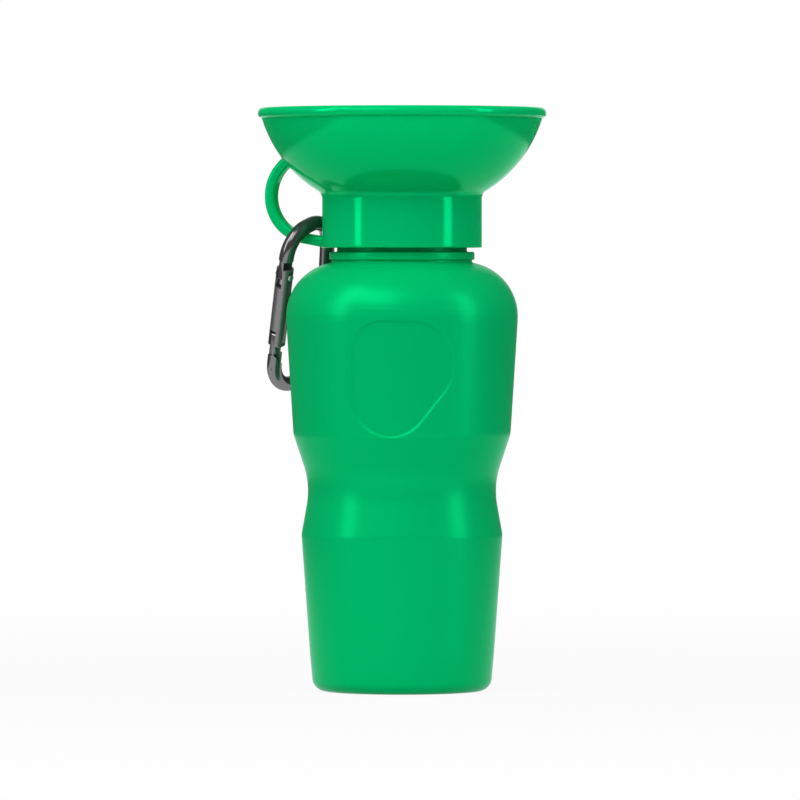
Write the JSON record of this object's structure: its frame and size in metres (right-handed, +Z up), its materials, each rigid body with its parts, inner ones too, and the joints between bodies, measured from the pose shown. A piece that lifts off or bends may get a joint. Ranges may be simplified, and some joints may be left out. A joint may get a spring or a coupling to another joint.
{
  "type": "dog travel water bottle",
  "caption": "Squeeze bottle with a round drinking bowl on its neck, a twist-open dome valve, a moulded carry loop and a clip-on spring-gate carabiner.",
  "frame": {"origin": "centre of the base, on the plane the bottle stands on", "axes": "+Z up along the bottle's axis, -Y towards the side with the recessed panel, the carry loop points 20 degrees behind -X"},
  "size_m": [0.1078, 0.1078, 0.2179],
  "materials": {
    "bottle_green": "gloss",
    "gasket": "satin",
    "cap_green": "gloss",
    "tube_clear": "satin",
    "oring": "satin",
    "bowl_green": "gloss",
    "rod_gunmetal": "satin",
    "gate_gunmetal": "satin",
    "steel": "satin"
  },
  "bodies": {
    "bottle": {"bottle": "bottle_green"},
    "cap_lift": {"neck_gasket": "gasket"},
    "cap": {"valve_cap": "cap_green", "dip_tube": "tube_clear", "dome_plug": "cap_green", "plug_oring": "oring"},
    "bowl_lift": {"collar_oring": "oring"},
    "bowl": {"bowl": "bowl_green"},
    "carabiner": {"carabiner_body": "rod_gunmetal"},
    "gate": {"carabiner_gate": "gate_gunmetal", "gate_rivet": "steel", "latch_pin": "steel", "gate_spring": "steel"},
    "plunger": {"gate_plunger": "steel"}
  },
  "joints": [
    {"name": "cap_rise", "type": "slide", "parent": "bottle", "child": "cap_lift", "axis": [0, 0, 1], "range_m": [0, 0.006]},
    {"name": "cap_turn", "type": "hinge", "parent": "cap_lift", "child": "cap", "pos_m": [0, 0, 0.18], "axis": [0, 0, 1], "range_deg": [0, 540]},
    {"name": "bowl_rise", "type": "slide", "parent": "cap", "child": "bowl_lift", "axis": [0, 0, 1], "range_m": [0, 0.004]},
    {"name": "bowl_twist", "type": "hinge", "parent": "bowl_lift", "child": "bowl", "pos_m": [0, 0, 0.187], "axis": [0, 0, 1], "range_deg": [0, 180]},
    {"name": "carabiner_swing", "type": "hinge", "parent": "bowl", "child": "carabiner", "pos_m": [-0.032, 0.01336, 0.17491], "axis": [0.5948, 0.8039, 0], "range_deg": [0, 65]},
    {"name": "gate_swing", "type": "hinge", "parent": "carabiner", "child": "gate", "pos_m": [-0.04405, 0.00974, 0.15529], "axis": [0.7505, -0.5553, -0.3584], "range_deg": [0, 18], "stiffness_Nm_per_rad": 0.01, "springref_deg": -57.3},
    {"name": "plunger_slide", "type": "slide", "parent": "gate", "child": "plunger", "axis": [-0.1095, 0.4302, -0.896], "range_m": [0, 0.0006]}
  ],
  "couplings": [
    {"joint": "cap_rise", "follows": "cap_turn", "m_per_rad": 0.00063662},
    {"joint": "bowl_rise", "follows": "bowl_twist", "m_per_rad": 0.0012732},
    {"joint": "plunger_slide", "follows": "gate_swing", "m_per_rad": 0.0019099}
  ]
}
